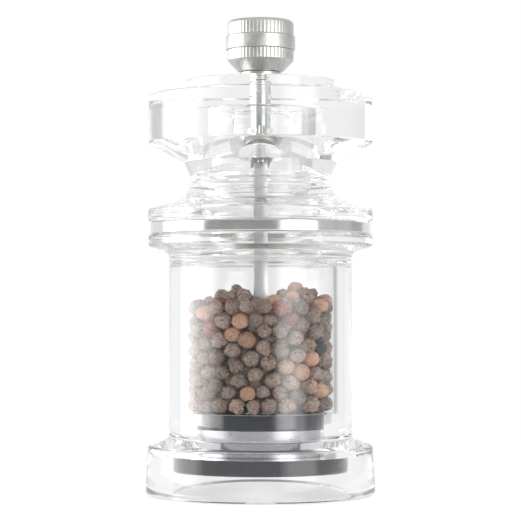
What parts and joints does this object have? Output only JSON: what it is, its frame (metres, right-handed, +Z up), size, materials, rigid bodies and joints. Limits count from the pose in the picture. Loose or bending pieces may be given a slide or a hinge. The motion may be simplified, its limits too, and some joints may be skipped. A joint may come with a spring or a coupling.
{
  "type": "pepper mill",
  "caption": "Clear acrylic table pepper mill with a turned profile, metal collar ring, screw knob with fluted bands, square drive shaft, push-fitted grinder and a fill of whole peppercorns.",
  "frame": {"origin": "centre of the foot, on the table", "axes": "+Z up along the turning axis; -Y towards the viewer"},
  "size_m": [0.068, 0.0678, 0.14],
  "materials": {
    "clear_acrylic": "gloss",
    "polished_steel": "polished",
    "shaft_steel": "satin",
    "grinder_steel": "satin",
    "screw_steel": "satin",
    "spring_steel": "gloss",
    "dark_plastic": "satin",
    "brass": "satin",
    "peppercorn": "matte"
  },
  "bodies": {
    "base": {"clear_body": "clear_acrylic", "collar_ring": "polished_steel", "mechanism_flange": "dark_plastic", "stator_ring": "grinder_steel", "inlet_ring": "dark_plastic", "retaining_bar": "shaft_steel", "retaining_bar_screws": "screw_steel", "peppercorns": "peppercorn"},
    "spin": {"spring_washer_top": "shaft_steel"},
    "drive": {"drive_shaft": "shaft_steel", "rotor": "grinder_steel", "rotor_washer": "shaft_steel", "rotor_clip": "spring_steel", "grinder_spring": "spring_steel"},
    "head": {"turning_head": "clear_acrylic", "drive_plate": "shaft_steel", "drive_plate_screws": "screw_steel"},
    "knob_foot": {"knob_washer": "polished_steel"},
    "knob": {"knob_body": "polished_steel", "knob_band": "polished_steel", "knob_insert": "brass"}
  },
  "joints": [
    {"name": "grind_turn", "type": "hinge", "parent": "base", "child": "spin", "pos_m": [0, 0, 0.02], "axis": [0, 0, 1], "continuous": true},
    {"name": "grind_adjust", "type": "slide", "parent": "spin", "child": "drive", "axis": [0, 0, 1], "range_m": [-0.0007, 0.00052], "deforming": ["grinder_spring"]},
    {"name": "head_lift", "type": "slide", "parent": "spin", "child": "head", "axis": [0, 0, 1], "range_m": [0, 0.06]},
    {"name": "knob_lift", "type": "slide", "parent": "head", "child": "knob_foot", "axis": [0, 0, 1], "range_m": [0, 0.02]},
    {"name": "knob_turn", "type": "hinge", "parent": "knob_foot", "child": "knob", "pos_m": [0, 0, 0.13], "axis": [0, 0, 1], "range_deg": [-270, 360]}
  ],
  "couplings": [
    {"joint": "knob_turn", "follows": "grind_adjust", "rad_per_m": -8976}
  ]
}
